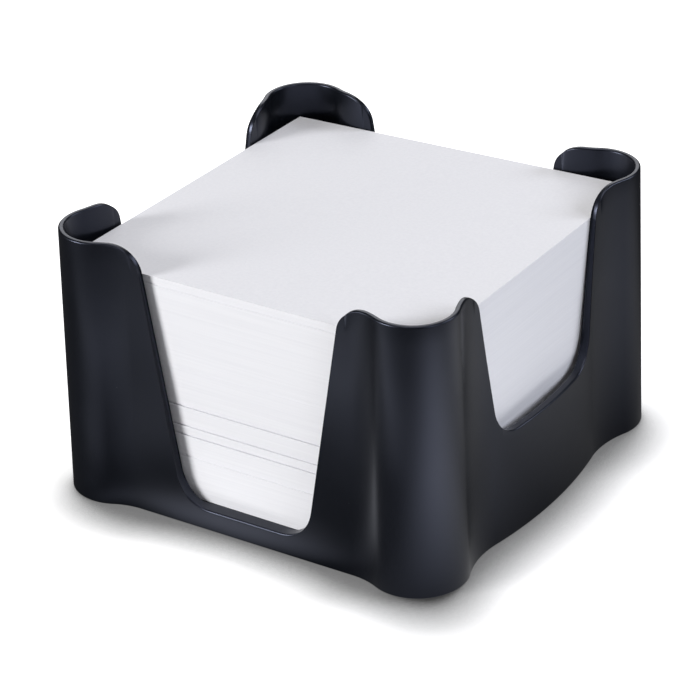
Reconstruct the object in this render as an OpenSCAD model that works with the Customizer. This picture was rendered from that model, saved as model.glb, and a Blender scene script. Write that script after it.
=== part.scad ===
// Note box: a moulded open holder with four round corner columns, filled with loose square sheets.
// Millimetres. The underside rests on z = 0 and the origin is the middle of the base.
// The two walls across Y are flat with a deep notch, the two across X bulge and have a shallow one.

/* [Sheets] */
// Side of one square sheet
sheet_side = 90; // [86:0.5:96]
// Height of the loose stack above the floor
stack_h = 52.6; // [20:0.2:58]
// How far slipped sheets stand out of the stack's side
sheet_slip = 0.1; // [0:0.05:0.3]
// Play between the slipped sheets and the walls, each side
sheet_gap = 0.1; // [0.1:0.1:1.5]
// Play between the sheets' corners and the corner columns
corner_gap = 0.1; // [0.1:0.1:1.5]

/* [Holder] */
// Height of the corner posts' rims
holder_h = 63.9; // [50:0.1:90]
// Wall thickness at the rim
rim_wall = 1.3; // [1.2:0.1:3]
// Lean of the outer faces, in degrees, so that the moulding leaves its mould
draft = 1.1; // [0:0.05:1.5]
// Height of the floor's top, flush with the deep notches
floor_top = 5; // [3:0.1:8]
// Thickness of the floor, above the hollow underside
floor_wall = 2; // [1.2:0.1:2.8]
// How far the bulged walls stand out past the flat ones, at their middle
bulge = 2.4; // [1.5:0.1:4]

/* [Corner columns] */
// Radius of a column's outer face
column_r = 11.1; // [9:0.1:12.5]
// Radius of the valley between a column and a flat wall
flat_valley_r = 16; // [10:0.5:20]
// Radius of the valley between a column and a bulged wall
bulge_valley_r = 24; // [16:0.5:30]

/* [Finger notches] */
// Width of the deep notches, measured at the rim
deep_notch_w = 52.6; // [44:0.2:54]
// Width of the shallow notches, measured at the rim
shallow_notch_w = 53.4; // [44:0.2:54]
// Height of the shallow notches' bottom edge
shallow_notch_z = 25.2; // [10:0.2:34]
// Lean of the notches' sides, in degrees
notch_lean = 9.2; // [4:0.2:12]
// Radius of the notches' bottom corners
notch_corner_r = 9; // [4:0.5:12]
// Radius that rolls a notch's side over into the rim
notch_roll_r = 6.5; // [4:0.5:9]
// Rounding of the rim's two edges
edge_r = 0.45; // [0.2:0.05:0.55]

/* [Hidden] */

// Steps along the arcs of the rim and of the plan outline
corner_steps = 6;
column_steps = 16;
valley_steps = 3;
wall_steps = 3;
edge_steps = 3;

// Shares of the stack's height at which a slipped band of sheets starts, and the way each one went
slip_starts = [0, 0.18, 0.2, 0.28, 0.3, 0.33, 0.35, 0.42, 0.43, 0.98];
slip_ways = [[0, 0], [1, -1], [0, 0], [0, 1], [0, 0], [1, -1], [0, 0], [-1, 1], [0, 0], [-1, -1]];

// The outer faces lean in with height, the inner faces stand upright and clear the sheets
lean = tan(draft);
foot_wall = rim_wall + lean * holder_h;
sheet_half = sheet_side / 2 + sheet_slip;
wall_line = sheet_half + sheet_gap + foot_wall;

// Centres of the plan's arcs in the corner at +X -Y. The column's inner face clears the sheets'
// corner. Each valley touches the column, and both valleys bottom out on the same wall line
column_c = sheet_half - (column_r - foot_wall - corner_gap) / sqrt(2);
column_mid = [column_c, -column_c];
flat_valley_mid = [column_c - valley_run(flat_valley_r), -wall_line - flat_valley_r];
bulge_valley_mid = [wall_line + bulge_valley_r, -column_c + valley_run(bulge_valley_r)];

// The bulged wall's arc touches its valleys and stands out past the wall line at its middle
bulge_r = ((bulge_valley_r - bulge) ^ 2 - bulge_valley_r ^ 2 + bulge_valley_mid.y ^ 2) / (2 * bulge);
bulge_mid = [wall_line + bulge - bulge_r, 0];

// Where the column takes over from the two valleys, as a direction from its middle
column_start = heading(column_mid, flat_valley_mid);
column_end = heading(column_mid, bulge_valley_mid);
column_start_x = column_mid.x + column_r * cos(column_start);
column_end_y = -column_mid.y - column_r * sin(column_end);
bulge_end_y = bulge_r * sin(-heading(bulge_mid, bulge_valley_mid));

// Direction from one point to another, in degrees
function heading(a, b) = atan2(b.y - a.y, b.x - a.x);

// How far a valley's centre lies from the column's centre, along the wall
function valley_run(r) = sqrt((column_r + r) ^ 2 - (wall_line + r - column_c) ^ 2);

// A plan point is [x, y, normal x, normal y]. The side is 1 on a convex arc and -1 in a valley
function on_arc(mid, r, a, side) = [mid.x + r * cos(a), mid.y + r * sin(a), side * cos(a), side * sin(a)];

// The outline at the base, across the flat wall at x = q and its valley
function on_flat_wall(q) =
    q <= flat_valley_mid.x
        ? [q, -wall_line, 0, -1]
        : on_arc(flat_valley_mid, flat_valley_r, acos((q - flat_valley_mid.x) / flat_valley_r), -1);

// The same across the bulged wall at y = -q and its valley
function on_bulged_wall(q) =
    q <= bulge_end_y
        ? on_arc(bulge_mid, bulge_r, -asin(q / bulge_r), 1)
        : on_arc(bulge_valley_mid, bulge_valley_r, 180 + asin((q + bulge_valley_mid.y) / bulge_valley_r), -1);

// Where a notch's leaning side meets its corner arc and its roll-over arc. The side's line passes
// the rim's level at half the notch's width
function corner_mid(half_w, bottom) =
    let (z = bottom + notch_corner_r)
    [half_w - (holder_h - z) * tan(notch_lean) - notch_corner_r / cos(notch_lean), z];
function roll_mid(half_w) =
    [half_w - notch_roll_r * tan(notch_lean) + notch_roll_r / cos(notch_lean), holder_h - notch_roll_r];

// Half of a notch's edge from its middle up to the rim, as [q, z, slope q, slope z], where the slope
// is the direction that points out of the plastic within the wall
function notch_edge(half_w, bottom) =
    let (c = corner_mid(half_w, bottom), r = roll_mid(half_w))
    concat(
        [for (i = [0 : wall_steps - 1]) [c.x * i / wall_steps, bottom, 0, 1]],
        [for (i = [0 : corner_steps])
            let (a = (90 - notch_lean) * i / corner_steps)
            [c.x + notch_corner_r * sin(a), c.y - notch_corner_r * cos(a), -sin(a), cos(a)]],
        [for (i = [0 : corner_steps])
            let (a = (90 - notch_lean) * (1 - i / corner_steps))
            [r.x - notch_roll_r * sin(a), r.y + notch_roll_r * cos(a), -sin(a), cos(a)]]
    );

// A rim point is a plan point with [rim height, slope along the wall, slope upwards] after it, and
// the list runs anticlockwise from the middle of one flat wall to the middle of a bulged one
function quarter_rim() =
    let (
        deep = notch_edge(deep_notch_w / 2, floor_top),
        shallow = notch_edge(shallow_notch_w / 2, shallow_notch_z),
        deep_end = roll_mid(deep_notch_w / 2).x,
        shallow_end = roll_mid(shallow_notch_w / 2).x
    )
    concat(
        [for (e = deep) concat(on_flat_wall(e[0]), [e[1], e[2], e[3]])],
        [for (i = [1 : valley_steps])
            concat(on_flat_wall(deep_end + (column_start_x - deep_end) * i / valley_steps), [holder_h, 0, 1])],
        [for (i = [1 : column_steps])
            let (a = column_start + (column_end - column_start) * i / column_steps)
            concat(on_arc(column_mid, column_r, a, 1), [holder_h, 0, 1])],
        [for (i = [1 : valley_steps])
            concat(on_bulged_wall(column_end_y + (shallow_end - column_end_y) * i / valley_steps),
                [holder_h, 0, 1])],
        [for (i = [1 : len(shallow) - 1])
            let (e = shallow[len(shallow) - 1 - i])
            concat(on_bulged_wall(e[0]), [e[1], -e[2], e[3]])]
    );

// Mirrored copies, read backwards so that the loop still runs anticlockwise
function flip_y(rim) =
    [for (i = [len(rim) - 1 : -1 : 0]) let (p = rim[i]) [p[0], -p[1], p[2], -p[3], p[4], -p[5], p[6]]];
function flip_x(rim) =
    [for (i = [len(rim) - 1 : -1 : 0]) let (p = rim[i]) [-p[0], p[1], -p[2], p[3], p[4], -p[5], p[6]]];
function open_end(rim) = [for (i = [0 : len(rim) - 2]) rim[i]];
function whole_rim() =
    let (q = quarter_rim(), right = concat(open_end(q), flip_y(q)))
    concat(open_end(right), open_end(flip_x(right)));

// A point of the wall at one rim point: inset from the base outline, and a drop below the rim's edge
function wall_point(p, inset, drop) =
    [
        p[0] - p[2] * inset + p[3] * p[5] * drop,
        p[1] - p[3] * inset - p[2] * p[5] * drop,
        p[4] - p[6] * drop
    ];
function on_ground(v) = [v.x, v.y, 0];

// The wall's section: base, outer face, two rounded edges of the rim, inner face and base again
function wall_section(p) =
    let (
        outer = [for (k = [0 : edge_steps])
            let (a = 90 * k / edge_steps)
            wall_point(p, lean * p[4] + edge_r * (1 - cos(a)), edge_r * (1 - sin(a)))],
        inner = [for (k = [edge_steps : -1 : 0])
            let (a = 90 * k / edge_steps)
            wall_point(p, foot_wall - edge_r * (1 - cos(a)), edge_r * (1 - sin(a)))]
    )
    concat(
        [on_ground(wall_point(p, 0, edge_r))],
        outer,
        inner,
        [on_ground(wall_point(p, foot_wall, edge_r))]
    );

// One closed band of plastic: the section carried round the whole rim
module wall() {
    rim = whole_rim();
    sections = [for (p = rim) wall_section(p)];
    rows = len(rim);
    ring = len(sections[0]);
    faces = [for (i = [0 : rows - 1], j = [0 : ring - 1])
        let (i2 = (i + 1) % rows, j2 = (j + 1) % ring)
        [i * ring + j, i * ring + j2, i2 * ring + j2, i2 * ring + j]];
    polyhedron(points = [for (s = sections) each s], faces = faces, convexity = 10);
}

// The floor ends inside the wall, and leaves the wall's foot as a rim to stand on
module floor_plate() {
    outline = [for (p = whole_rim()) [p[0] - p[2] * foot_wall / 2, p[1] - p[3] * foot_wall / 2]];
    translate([0, 0, floor_top - floor_wall])
        linear_extrude(floor_wall)
            polygon(outline);
}

module holder() {
    color("#24272d")
        union() {
            wall();
            floor_plate();
        }
}

// A square block of sheets, w wide, that stands on the floor's level plus start
module sheets(w, slip, start, end) {
    translate([slip.x - w / 2, slip.y - w / 2, floor_top + start])
        cube([w, w, end - start]);
}

// Loose sheets as one block. A few bands near the bottom and just under the top have slipped, and the
// core is what all of them share
module paper_stack() {
    color("#eeeff3")
        union() {
            sheets(sheet_side - 2 * sheet_slip, [0, 0], 0, stack_h);
            for (i = [0 : len(slip_starts) - 1]) {
                start = slip_starts[i] * stack_h;
                end = i < len(slip_starts) - 1 ? slip_starts[i + 1] * stack_h : stack_h;
                sheets(sheet_side, slip_ways[i] * sheet_slip, start, end);
            }
        }
}

holder();
paper_stack();
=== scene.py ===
import math

import bmesh
import bpy
import numpy as np
from mathutils import Matrix, Vector


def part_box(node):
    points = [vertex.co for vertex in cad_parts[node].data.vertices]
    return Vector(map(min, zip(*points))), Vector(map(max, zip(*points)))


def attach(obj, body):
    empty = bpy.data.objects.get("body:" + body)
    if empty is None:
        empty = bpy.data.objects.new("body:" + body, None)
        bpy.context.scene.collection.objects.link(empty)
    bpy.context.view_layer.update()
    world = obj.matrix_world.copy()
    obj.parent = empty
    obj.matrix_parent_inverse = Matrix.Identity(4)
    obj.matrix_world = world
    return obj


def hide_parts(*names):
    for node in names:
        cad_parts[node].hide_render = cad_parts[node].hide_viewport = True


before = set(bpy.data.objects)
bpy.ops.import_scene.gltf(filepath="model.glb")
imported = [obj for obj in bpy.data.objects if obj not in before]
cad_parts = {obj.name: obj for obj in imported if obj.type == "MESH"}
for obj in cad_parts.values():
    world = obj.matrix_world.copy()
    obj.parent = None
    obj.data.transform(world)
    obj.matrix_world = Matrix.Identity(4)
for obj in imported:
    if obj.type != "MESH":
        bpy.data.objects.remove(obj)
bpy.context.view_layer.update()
scene = bpy.context.scene

# Camera
# It looks down on the corner at +X -Y from a little over arm's length. Its place, lens and slight
# tilt were fitted to the edges of the box in the photograph.
camera_aim = Vector((0.00718, -0.01449, 0.03377))
camera_distance = 0.67354
camera_azimuth = math.radians(33.224)
camera_elevation = math.radians(27.979)
camera_roll = math.radians(-1.791)
camera_lens = 157.9


def direction(azimuth, elevation):
    """The unit vector towards a direction: azimuth 0 is -Y and 90 degrees is +X, elevation is upwards."""
    return Vector((
        math.sin(azimuth) * math.cos(elevation),
        -math.cos(azimuth) * math.cos(elevation),
        math.sin(elevation),
    ))


camera_data = bpy.data.cameras.new("camera")
camera_data.sensor_width = 36
camera_data.lens = camera_lens
camera = bpy.data.objects.new("camera", camera_data)
camera_back = direction(camera_azimuth, camera_elevation)
camera.matrix_world = (
    Matrix.Translation(camera_aim + camera_back * camera_distance)
    @ camera_back.to_track_quat("Z", "Y").to_matrix().to_4x4()
    @ Matrix.Rotation(camera_roll, 4, "Z")
)
scene.collection.objects.link(camera)
scene.camera = camera
scene.view_settings.view_transform = "Standard"

# Light and floor
# Soft boxes stand round a plain table. The camera sees the table and what lies behind it as white,
# with the shadow of the box and a painted soft shade round its foot. To the box the table is dark, but
# for a few soft pools of painted light, where the table glows, that the plastic reflects.
lamp_target = Vector((0, 0, 0.03))
bluish = (0.88, 0.91, 1)
warm = (1, 0.98, 0.96)


def soft_box(name, azimuth, elevation, size, watts, colour=(1, 1, 1), distance=1.2):
    """A square area lamp that looks at the middle of the box from an azimuth and elevation in degrees."""
    lamp = bpy.data.lights.new(name, "AREA")
    lamp.shape = "SQUARE"
    lamp.size = size
    lamp.energy = watts
    lamp.color = colour
    away = direction(math.radians(azimuth), math.radians(elevation))
    stand = bpy.data.objects.new(name, lamp)
    stand.matrix_world = (
        Matrix.Translation(lamp_target + away * distance)
        @ away.to_track_quat("Z", "Y").to_matrix().to_4x4()
    )
    scene.collection.objects.link(stand)


soft_box("key_lamp", azimuth=-36, elevation=14, size=0.42, watts=13.5)
soft_box("right_lamp", azimuth=77, elevation=28, size=0.4, watts=3.2, colour=bluish)
soft_box("far_right_lamp", azimuth=125, elevation=28, size=0.5, watts=5, colour=bluish)
soft_box("back_lamp", azimuth=213, elevation=28, size=0.7, watts=3.2)
soft_box("top_lamp", azimuth=0, elevation=88, size=0.8, watts=5.3, colour=warm)

world = bpy.data.worlds.new("studio")
world.use_nodes = True
scene.world = world
world_nodes = world.node_tree.nodes
world_links = world.node_tree.links
world_nodes["Background"].inputs["Color"].default_value = (0.97, 0.98, 1, 1)
world_nodes["Background"].inputs["Strength"].default_value = 0.06
white_beyond = world_nodes.new("ShaderNodeBackground")
white_beyond.inputs["Strength"].default_value = 1
seen_world = world_nodes.new("ShaderNodeLightPath")
world_mix = world_nodes.new("ShaderNodeMixShader")
world_links.new(seen_world.outputs["Is Camera Ray"], world_mix.inputs["Fac"])
world_links.new(world_nodes["Background"].outputs[0], world_mix.inputs[1])
world_links.new(white_beyond.outputs[0], world_mix.inputs[2])
world_links.new(world_mix.outputs[0], world_nodes["World Output"].inputs["Surface"])

table_half = 2.5
table_corners = table_half * np.array([(-1, -1, 0), (1, -1, 0), (1, 1, 0), (-1, 1, 0)])
table_mesh = bpy.data.meshes.new("table")
table_mesh.from_pydata(table_corners, [], [(0, 1, 2, 3)])
table = bpy.data.objects.new("table", table_mesh)
scene.collection.objects.link(table)
table_paint = bpy.data.materials.new("table_top")
table_paint.use_nodes = True
table_paint.cycles.emission_sampling = "NONE"
table_nodes = table_paint.node_tree.nodes
table_links = table_paint.node_tree.links
table_surface = table_nodes["Principled BSDF"]
table_surface.inputs["Roughness"].default_value = 0.9
table_surface.inputs["Specular IOR Level"].default_value = 0
table_surface.inputs["Emission Color"].default_value = (1, 1, 1, 1)
table_place = table_nodes.new("ShaderNodeTexCoord").outputs["Object"]
seen_table = table_nodes.new("ShaderNodeLightPath").outputs["Is Camera Ray"]


def pool_of_light(centre, reach, glow, beside=None):
    """Light that lies on the table: glow at the centre, faded by a smooth step to 0 at the reach.

    The distance is the length of (place - centre) / reach, and the pool beside it is added. The same
    form, taken away, is a patch of shade.
    """
    spot = table_nodes.new("ShaderNodeMapping")
    spot.inputs["Scale"].default_value = (1 / reach[0], 1 / reach[1], 1)
    spot.inputs["Location"].default_value = (-centre[0] / reach[0], -centre[1] / reach[1], 0)
    distance = table_nodes.new("ShaderNodeVectorMath")
    distance.operation = "LENGTH"
    fade = table_nodes.new("ShaderNodeMapRange")
    fade.interpolation_type = "SMOOTHSTEP"
    fade.inputs["To Min"].default_value = glow
    fade.inputs["To Max"].default_value = 0
    table_links.new(table_place, spot.inputs["Vector"])
    table_links.new(spot.outputs["Vector"], distance.inputs[0])
    table_links.new(distance.outputs["Value"], fade.inputs["Value"])
    if beside is None:
        return fade.outputs["Result"]
    both = table_nodes.new("ShaderNodeMath")
    table_links.new(beside, both.inputs[0])
    table_links.new(fade.outputs["Result"], both.inputs[1])
    return both.outputs[0]


# Two broad pools of painted light lie towards +X, and towards -Y a long strip, a narrow one at the foot and
# a small one
pools = None
for centre, reach, glow in (
    ((0.116, -0.069), (0.099, 0.093), 2.3),
    ((0.15, 0.044), (0.128, 0.16), 0.95),
    ((-0.015, -0.13), (0.16, 0.025), 2.2),
    ((-0.007, -0.0535), (0.038, 0.008), 1.7),
    ((-0.05, -0.085), (0.035, 0.025), 0.6),
):
    pools = pool_of_light(centre, reach, glow, beside=pools)

# The shade round the foot is painted into the table's colour and glow, deep where the box hides the
# sky from the table. It looks for the sky along a fixed direction. This was chosen to lean away from
# the photograph's camera, so that the shade falls further out at +X -Y, where the photograph has it.
# One more patch of painted shade lies there before the column
sky_direction = (-0.31, 0.48, 0.82)
shade_lean = table_nodes.new("ShaderNodeCombineXYZ")
for axis, share in zip("XYZ", sky_direction):
    shade_lean.inputs[axis].default_value = share
open_sky = table_nodes.new("ShaderNodeAmbientOcclusion")
open_sky.samples = 16
open_sky.inputs["Distance"].default_value = 0.0185
table_links.new(shade_lean.outputs["Vector"], open_sky.inputs["Normal"])
near_box = table_nodes.new("ShaderNodeMapRange")
near_box.inputs["From Min"].default_value = 0.45
near_box.inputs["From Max"].default_value = 0.95
near_box.inputs["To Min"].default_value = 0.12
near_box.inputs["To Max"].default_value = 0.8
table_links.new(open_sky.outputs["AO"], near_box.inputs["Value"])
shaded = table_nodes.new("ShaderNodeMath")
shaded.operation = "SUBTRACT"
shaded.use_clamp = True
table_links.new(near_box.outputs["Result"], shaded.inputs[0])
column_shade = pool_of_light(centre=(0.056, -0.056), reach=(0.024, 0.024), glow=0.2)
table_links.new(column_shade, shaded.inputs[1])
table_glow = table_nodes.new("ShaderNodeMix")
table_links.new(seen_table, table_glow.inputs["Factor"])
table_links.new(pools, table_glow.inputs["A"])
table_links.new(shaded.outputs[0], table_glow.inputs["B"])
table_links.new(table_glow.outputs["Result"], table_surface.inputs["Emission Strength"])
table_colour = table_nodes.new("ShaderNodeMix")
table_colour.data_type = "RGBA"
table_colour.inputs["A"].default_value = (0.05, 0.05, 0.05, 1)
table_links.new(shaded.outputs[0], table_colour.inputs["B"])
table_links.new(seen_table, table_colour.inputs["Factor"])
table_links.new(table_colour.outputs["Result"], table_surface.inputs["Base Color"])
table_mesh.materials.append(table_paint)

# Holder
# One injection moulding of satin black plastic. A thin wall runs round four corner columns and dips
# into four finger notches, with a floor inside it and a foot below that is hollow underneath.
holder_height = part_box("holder")[1].z
floor_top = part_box("paper_stack")[0].z
floor_thickness = 0.002
rim_wall = 0.0013
draft = math.radians(1.1)
bulge = 0.0024
column_r = 0.0111
flat_valley_r = 0.016
bulge_valley_r = 0.024
deep_notch_half = 0.0263
shallow_notch_half = 0.0267
shallow_notch_z = 0.0252
notch_lean = math.radians(9.2)
notch_corner_r = 0.009
notch_roll_r = 0.0065
edge_r = 0.00045
foot_edge_r = 0.0003

# The walls and the columns clear full sheets of 90 mm that have slipped by 0.1 mm
sheet_reach = 0.0451
sheet_play = 0.0001
corner_play = 0.0001

# How far the rim of a corner is drawn along x and y, for the corners at -X +Y and -X -Y
warp_reach = 0.03
corner_warp = {(-1, 1): (0.0006, 0.00036), (-1, -1): (-0.0003, 0.00004)}

# How many points or lines each stretch of the moulding has, and where the floor's lines lie, as shares
# of the way from the middle to the wall
level_points = 10
corner_points = 16
side_points = 14
roll_points = 18
valley_points = 8
column_points = 48
edge_lines = 8
inside_lines = 10
outside_lines = 16
floor_shares = (0.02, 0.3, 0.6, 0.9)

lean = math.tan(draft)
foot_wall = rim_wall + lean * holder_height
floor_under = floor_top - floor_thickness
wall_line = sheet_reach + sheet_play + foot_wall
column_c = sheet_reach - (column_r - foot_wall - corner_play) / math.sqrt(2)
column_mid = np.array([column_c, -column_c])


def valley_run(r):
    """How far a valley's centre lies from the column's centre along the wall, so that both arcs touch."""
    return math.sqrt((column_r + r) ** 2 - (wall_line + r - column_c) ** 2)


flat_valley_mid = np.array([column_c - valley_run(flat_valley_r), -wall_line - flat_valley_r])
bulge_valley_mid = np.array([wall_line + bulge_valley_r, -column_c + valley_run(bulge_valley_r)])
bulge_r = ((bulge_valley_r - bulge) ** 2 - bulge_valley_r**2 + bulge_valley_mid[1] ** 2) / (2 * bulge)
bulge_mid = np.array([wall_line + bulge - bulge_r, 0])


def on_arc(mid, r, angle, side):
    """Plan points mid + r (cos a, sin a) and their normals side (cos a, sin a), as rows x, y, nx, ny."""
    turn = np.stack([np.cos(angle), np.sin(angle)], 1)
    return np.hstack([mid + r * turn, side * turn])


def on_flat_wall(q):
    """The base outline at x = q: straight at y = -wall_line, then the valley's arc."""
    straight = np.stack([q, np.full_like(q, -wall_line), np.zeros_like(q), -np.ones_like(q)], 1)
    over = np.clip((q - flat_valley_mid[0]) / flat_valley_r, 0, 1)
    curved = on_arc(flat_valley_mid, flat_valley_r, np.arccos(over), -1)
    return np.where((q <= flat_valley_mid[0])[:, None], straight, curved)


def on_bulged_wall(q):
    """The base outline at y = -q: the bulge's shallow arc, then the valley's arc."""
    bulge_end = -bulge_r * math.sin(math.atan2(*(bulge_valley_mid - bulge_mid)[::-1]))
    shallow = on_arc(bulge_mid, bulge_r, -np.arcsin(q / bulge_r), 1)
    over = np.clip((q + bulge_valley_mid[1]) / bulge_valley_r, -1, 1)
    curved = on_arc(bulge_valley_mid, bulge_valley_r, math.pi + np.arcsin(over), -1)
    return np.where((q <= bulge_end)[:, None], shallow, curved)


def notch_edge(half_width, bottom):
    """Half of a notch's edge from its middle to the rim, as rows q, z, slope q, slope z.

    It is a level stretch, an arc of notch_corner_r, a straight side that leans by notch_lean and an
    arc of notch_roll_r. The slope is the direction that points out of the plastic.
    """
    steep = math.pi / 2 - notch_lean
    corner_z = bottom + notch_corner_r
    corner_q = (
        half_width
        - (holder_height - corner_z) * math.tan(notch_lean)
        - notch_corner_r / math.cos(notch_lean)
    )
    roll_z = holder_height - notch_roll_r
    roll_q = half_width - notch_roll_r * math.tan(notch_lean) + notch_roll_r / math.cos(notch_lean)
    level = np.linspace(0, corner_q, level_points)[:-1]
    corner_a = np.linspace(0, steep, corner_points)
    roll_a = np.linspace(steep, 0, roll_points)
    corner = np.stack([
        corner_q + notch_corner_r * np.sin(corner_a), corner_z - notch_corner_r * np.cos(corner_a),
        -np.sin(corner_a), np.cos(corner_a),
    ], 1)
    roll = np.stack([
        roll_q - notch_roll_r * np.sin(roll_a), roll_z + notch_roll_r * np.cos(roll_a),
        -np.sin(roll_a), np.cos(roll_a),
    ], 1)
    up = np.linspace(0, 1, side_points)[1:-1, None]
    side = corner[-1] * (1 - up) + roll[0] * up
    flat = np.stack([level, np.full_like(level, bottom), np.zeros_like(level), np.ones_like(level)], 1)
    return np.vstack([flat, corner, side, roll])


def at_rim(plan):
    """Rim points above plan points: the rim's height, and a slope that points straight up."""
    count = len(plan)
    return np.hstack([plan, np.full((count, 1), holder_height), np.zeros((count, 1)), np.ones((count, 1))])


def mirrored(rim, axis):
    """The rim on the other side of a plane, read backwards so that it still runs anticlockwise."""
    flip = np.ones(7)
    flip[[axis, axis + 2, 5]] = -1
    return rim[::-1] * flip


def rim_loop():
    """The whole rim, anticlockwise, as rows x, y, nx, ny, z, slope along the wall, slope upwards."""
    deep = notch_edge(deep_notch_half, floor_top)
    shallow = notch_edge(shallow_notch_half, shallow_notch_z)[::-1]
    start = math.atan2(*(flat_valley_mid - column_mid)[::-1])
    end = math.atan2(*(bulge_valley_mid - column_mid)[::-1])
    start_x = column_c + column_r * math.cos(start)
    end_q = column_c - column_r * math.sin(end)
    quarter = np.vstack([
        np.hstack([on_flat_wall(deep[:, 0]), deep[:, 1:]]),
        at_rim(on_flat_wall(np.linspace(deep[-1, 0], start_x, valley_points)[1:-1])),
        at_rim(on_arc(column_mid, column_r, np.linspace(start, end, column_points), 1)),
        at_rim(on_bulged_wall(np.linspace(end_q, shallow[0, 0], valley_points)[1:-1])),
        np.hstack([on_bulged_wall(shallow[:, 0]), shallow[:, 1:] * (1, -1, 1)]),
    ])
    right = np.vstack([quarter[:-1], mirrored(quarter, 1)])
    return np.vstack([right[:-1], mirrored(right, 0)[:-1]])


def wall_row(rim, inset, drop):
    """One line of the wall round the rim: inset from the base outline, drop below the rim's edge."""
    x, y, nx, ny, z, along, up = rim.T
    return np.stack([
        x - nx * inset - ny * along * drop,
        y - ny * inset + nx * along * drop,
        z - up * drop,
    ], 1)


def moulding_rows(rim):
    """The moulding's surface as lines round it, from the middle of the floor out over the wall and under.

    A rounded edge of radius r is r (1 - cos a) into the wall and r (1 - sin a) below the rim, and the
    inner edge loses its rounding where a notch is flush with the floor.
    """
    turns = np.linspace(0, math.pi / 2, edge_lines)
    draft_inset = lean * rim[:, 4]
    inner_r = np.clip(rim[:, 4] - floor_top, 0, edge_r)
    over_rim = [
        wall_row(rim, foot_wall - inner_r * (1 - math.cos(a)), inner_r * (1 - math.sin(a)))
        for a in turns
    ] + [
        wall_row(rim, draft_inset + edge_r * (1 - math.cos(a)), edge_r * (1 - math.sin(a)))
        for a in turns[::-1]
    ]
    inner_foot = wall_row(rim, foot_wall, inner_r)
    inner_foot[:, 2] = floor_top
    inside = [inner_foot * (1 - t) + over_rim[0] * t for t in np.linspace(0, 1, inside_lines)[:-1]]
    outer_foot = wall_row(rim, 0, edge_r)
    outer_foot[:, 2] = foot_edge_r
    outside = [over_rim[-1] * (1 - t) + outer_foot * t for t in np.linspace(0, 1, outside_lines)[1:-1]]
    down = np.ones((len(rim), 1))
    foot = [
        outer_foot - foot_edge_r * np.hstack([rim[:, 2:4] * (1 - math.cos(a)), down * math.sin(a)])
        for a in turns
    ]
    hollow = [wall_row(rim, foot_wall, edge_r) for _ in range(2)]
    hollow[0][:, 2] = 0
    hollow[1][:, 2] = floor_under
    floor = [inner_foot * (t, t, 1) for t in floor_shares]
    under = [hollow[1] * (t, t, 1) for t in floor_shares[::-1]]
    return floor + inside + over_rim + outside + foot + hollow + under


def swept_mesh(name, rows):
    """A closed mesh from lines of equal length: quads between neighbouring lines, and a cap at each end."""
    grid = np.asarray(rows)
    lines, count = grid.shape[:2]
    i = np.arange(lines - 1)[:, None] * count
    j = np.arange(count)
    after = (j + 1) % count
    quads = np.stack([i + j, i + count + j, i + count + after, i + after], 2).reshape(-1, 4)
    caps = [list(range(count)), list(range((lines - 1) * count, lines * count))[::-1]]
    mesh = bpy.data.meshes.new(name)
    mesh.from_pydata(grid.reshape(-1, 3), [], quads.tolist() + caps)
    return mesh


def warped(rows):
    """The rows with two corners drawn aside, as the moulding cooled.

    A point moves by the corner's warp times its height's share of the rim, times how far it lies
    towards the corner along x and along y, each from 0 at the middle to 1 at warp_reach.
    """
    grid = np.stack(rows)
    for (side_x, side_y), warp in corner_warp.items():
        towards_x = np.clip(grid[..., 0] * side_x / warp_reach, 0, 1)
        towards_y = np.clip(grid[..., 1] * side_y / warp_reach, 0, 1)
        grid[..., :2] += (towards_x * towards_y * grid[..., 2] / holder_height)[..., None] * warp
    return grid


holder_mesh = swept_mesh("holder_moulding", warped(moulding_rows(rim_loop())))
holder = bpy.data.objects.new("holder_moulding", holder_mesh)
scene.collection.objects.link(holder)


def tidy_shell(mesh, sharp_from, merge_within=2e-6):
    """Merges points that lie on each other and smooths all but the edges sharper than an angle."""
    shell = bmesh.new()
    shell.from_mesh(mesh)
    bmesh.ops.remove_doubles(shell, verts=shell.verts, dist=merge_within)
    shell.to_mesh(mesh)
    shell.free()
    mesh.shade_smooth()
    mesh.set_sharp_from_angle(angle=sharp_from)


tidy_shell(holder_mesh, math.radians(40))


def noise(nodes, links, place, scale, detail=2.0):
    """The value of a noise texture on the piece's own coordinates, with scale cells to the metre."""
    texture = nodes.new("ShaderNodeTexNoise")
    texture.inputs["Scale"].default_value = scale
    texture.inputs["Detail"].default_value = detail
    links.new(place, texture.inputs["Vector"])
    return texture.outputs["Fac"]


def spread(nodes, links, value, low, high, from_low=0.3, from_high=0.7):
    """A value taken from one range to another."""
    ranged = nodes.new("ShaderNodeMapRange")
    ranged.inputs["From Min"].default_value = from_low
    ranged.inputs["From Max"].default_value = from_high
    ranged.inputs["To Min"].default_value = low
    ranged.inputs["To Max"].default_value = high
    links.new(value, ranged.inputs["Value"])
    return ranged.outputs["Result"]


plastic = bpy.data.materials.new("satin_black_plastic")
plastic.use_nodes = True
plastic_nodes = plastic.node_tree.nodes
plastic_links = plastic.node_tree.links
plastic_surface = plastic_nodes["Principled BSDF"]
plastic_place = plastic_nodes.new("ShaderNodeTexCoord").outputs["Object"]
plastic_surface.inputs["IOR"].default_value = 1.5
plastic_surface.inputs["Specular Tint"].default_value = (0.67, 0.73, 1, 1)
clouds = noise(plastic_nodes, plastic_links, plastic_place, scale=70)
satin = spread(plastic_nodes, plastic_links, clouds, low=0.28, high=0.34)
plastic_links.new(satin, plastic_surface.inputs["Roughness"])
dust_cells = plastic_nodes.new("ShaderNodeTexVoronoi")
dust_cells.inputs["Scale"].default_value = 130
plastic_links.new(plastic_place, dust_cells.inputs["Vector"])
dust_speck = dust_cells.outputs["Distance"]
dust = spread(plastic_nodes, plastic_links, dust_speck, low=1, high=0, from_low=0.008, from_high=0.016)
paint = plastic_nodes.new("ShaderNodeMix")
paint.data_type = "RGBA"
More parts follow.
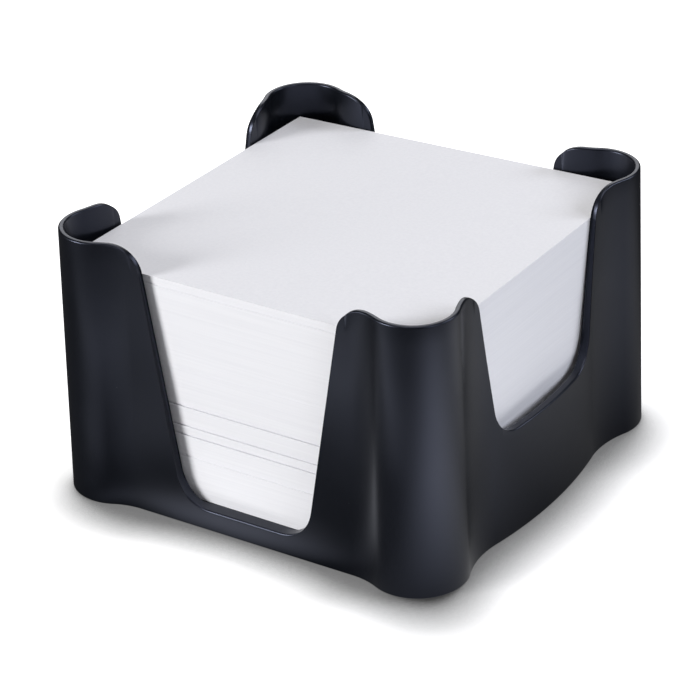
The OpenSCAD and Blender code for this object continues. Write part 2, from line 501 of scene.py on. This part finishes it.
paint.inputs["A"].default_value = (0.0034, 0.004, 0.0056, 1)
paint.inputs["B"].default_value = (0.06, 0.065, 0.075, 1)
plastic_links.new(dust, paint.inputs["Factor"])
plastic_links.new(paint.outputs["Result"], plastic_surface.inputs["Base Color"])
grain = plastic_nodes.new("ShaderNodeBump")
grain.inputs["Strength"].default_value = 0.15
grain.inputs["Distance"].default_value = 0.00002
pits = noise(plastic_nodes, plastic_links, plastic_place, scale=4000)
plastic_links.new(pits, grain.inputs["Height"])
plastic_links.new(grain.outputs["Normal"], plastic_surface.inputs["Normal"])
holder_mesh.materials.append(plastic)
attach(holder, "root")
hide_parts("holder")

# Sheets
# Over five hundred loose sheets of white note paper, cut square and stacked by hand. Here and there a
# few have slipped together, and the stack has settled lower at its back corner.
sheet_thickness = 0.0001
stack_low, stack_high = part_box("paper_stack")
stack_height = stack_high.z - stack_low.z
sheet_half = 0.0447
sheet_count = round(stack_height / sheet_thickness)
stack_turn = math.radians(-0.5)
stack_shift = np.array([0.00015, 0.00025])
loose_shift = 0.00001
loose_turn = 0.0002
slip_draw = np.random.default_rng(11)
top_cells = 24

# How much higher than the CAD's stack each corner of the top lies, anticlockwise from -X -Y. The last is
# the back corner
corner_rise = np.array([-0.0003, 0.0003, 0.0004, -0.0019])

# Groups that slipped, by their share of the stack's height from the bottom: how far each moved back,
# and how far in its sides lie
slipped = {
    (0.19, 0.2): (0, 0.0002),
    (0.275, 0.29): (-0.00005, 0),
    (0.29, 0.298): (0.0001, 0.0003),
    (0.325, 0.335): (-0.00005, 0),
    (0.335, 0.343): (0.0001, 0.0003),
    (0.415, 0.425): (-0.00005, 0),
    (0.425, 0.433): (0.0001, 0.0003),
    (0.605, 0.608): (-0.00005, 0),
    (0.962, 0.97): (0.00008, 0.0001),
}


def sheet_corners():
    """Corners of every sheet in plan, one sheet after the other, anticlockwise from -X -Y.

    Each sheet is the square of sheet_half, turned and shifted with the stack, and moved by its own
    small draw. A slipped group has also moved back, and its sides lie further in, all but the right.
    """
    share = (np.arange(sheet_count) + 0.5) / sheet_count
    move = stack_shift + slip_draw.uniform(-loose_shift, loose_shift, (sheet_count, 2))
    turn = stack_turn + slip_draw.uniform(-loose_turn, loose_turn, sheet_count)
    half = np.full((sheet_count, 1), sheet_half)
    for (low, high), (back, further_in) in slipped.items():
        group = (share >= low) & (share < high)
        move[group] += (further_in, back)
        half[group] -= further_in
    square = np.array([(-1, -1), (1, -1), (1, 1), (-1, 1)])
    x = half * (square[:, 0] - turn[:, None] * square[:, 1]) + move[:, :1]
    y = half * (square[:, 1] + turn[:, None] * square[:, 0]) + move[:, 1:]
    return np.stack([x, y], 2)


def settled(share):
    """Heights of a sheet's four corners at a share of the stack, which settles unevenly with height."""
    return stack_low.z + share[:, None] * (stack_height + corner_rise)


# Every sheet has a ring of four corners below and one above, and quads join each ring to the next
plan = sheet_corners()
levels = np.arange(sheet_count + 1) / sheet_count
under = np.concatenate([plan, settled(levels[:-1])[..., None]], 2)
over = np.concatenate([plan, settled(levels[1:])[..., None]], 2)
rings = np.stack([under, over], 1).reshape(-1, 3)[:-4]
top_start = len(rings)
i = np.arange(top_start // 4 - 1)[:, None] * 4
j = np.arange(4)
sides = np.stack([i + j, i + (j + 1) % 4, i + 4 + (j + 1) % 4, i + 4 + j], 2).reshape(-1, 4)

# The top face is the surface (1-u)(1-v) a + u (1-v) b + u v c + (1-u) v d between its corners, and the
# last ring joins its border
a, b, c, d = over[-1]
u, v = np.meshgrid(np.linspace(0, 1, top_cells + 1), np.linspace(0, 1, top_cells + 1))
u, v = u[..., None], v[..., None]
top = (1 - u) * (1 - v) * a + u * (1 - v) * b + u * v * c + (1 - u) * v * d
line = top_cells + 1
grid = top_start + np.arange(line * line).reshape(line, line)
cells = np.stack([grid[:-1, :-1], grid[:-1, 1:], grid[1:, 1:], grid[1:, :-1]], 2).reshape(-1, 4)
border = [grid[0], grid[:, -1], grid[-1, ::-1], grid[::-1, 0]]
last_ring = top_start - 4
top_sides = [[last_ring + s, last_ring + (s + 1) % 4, *border[s][::-1].tolist()] for s in range(4)]
sheets_mesh = bpy.data.meshes.new("note_sheets")
sheets_mesh.from_pydata(
    np.vstack([rings, top.reshape(-1, 3)]),
    [],
    [[3, 2, 1, 0]] + sides.tolist() + top_sides + cells.tolist(),
)
is_cut = np.ones(len(sheets_mesh.polygons))
is_cut[-len(cells):] = 0
sheets_mesh.attributes.new("cut_edge", "FLOAT", "FACE").data.foreach_set("value", is_cut)
sheets = bpy.data.objects.new("note_sheets", sheets_mesh)
scene.collection.objects.link(sheets)

# Fine fibres mottle the paper's face, and the guillotined edges show as streaks that run level
paper = bpy.data.materials.new("white_note_paper")
paper.use_nodes = True
paper_nodes = paper.node_tree.nodes
paper_links = paper.node_tree.links
paper_surface = paper_nodes["Principled BSDF"]
paper_surface.inputs["Roughness"].default_value = 0.85
paper_surface.inputs["Specular IOR Level"].default_value = 0.2
paper_place = paper_nodes.new("ShaderNodeTexCoord").outputs["Object"]
layers = paper_nodes.new("ShaderNodeMapping")
layers.inputs["Scale"].default_value = (30, 30, 2200)
paper_links.new(paper_place, layers.inputs["Vector"])
streaks = noise(paper_nodes, paper_links, layers.outputs["Vector"], scale=1, detail=4)
fibres = noise(paper_nodes, paper_links, paper_place, scale=1500, detail=3)
cut_edge = paper_nodes.new("ShaderNodeAttribute")
cut_edge.attribute_name = "cut_edge"
mottle = paper_nodes.new("ShaderNodeMix")
paper_links.new(cut_edge.outputs["Fac"], mottle.inputs["Factor"])
paper_links.new(fibres, mottle.inputs["A"])
paper_links.new(streaks, mottle.inputs["B"])
tone = paper_nodes.new("ShaderNodeMix")
tone.data_type = "RGBA"
tone.inputs["A"].default_value = (0.835, 0.835, 0.868, 1)
tone.inputs["B"].default_value = (0.872, 0.872, 0.902, 1)
contrast = spread(paper_nodes, paper_links, mottle.outputs["Result"], low=0, high=1)
paper_links.new(contrast, tone.inputs["Factor"])
paper_links.new(tone.outputs["Result"], paper_surface.inputs["Base Color"])
tooth = paper_nodes.new("ShaderNodeBump")
tooth.inputs["Strength"].default_value = 0.2
tooth.inputs["Distance"].default_value = 0.00003
paper_links.new(mottle.outputs["Result"], tooth.inputs["Height"])
paper_links.new(tooth.outputs["Normal"], paper_surface.inputs["Normal"])
sheets_mesh.materials.append(paper)
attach(sheets, "root")
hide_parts("paper_stack")
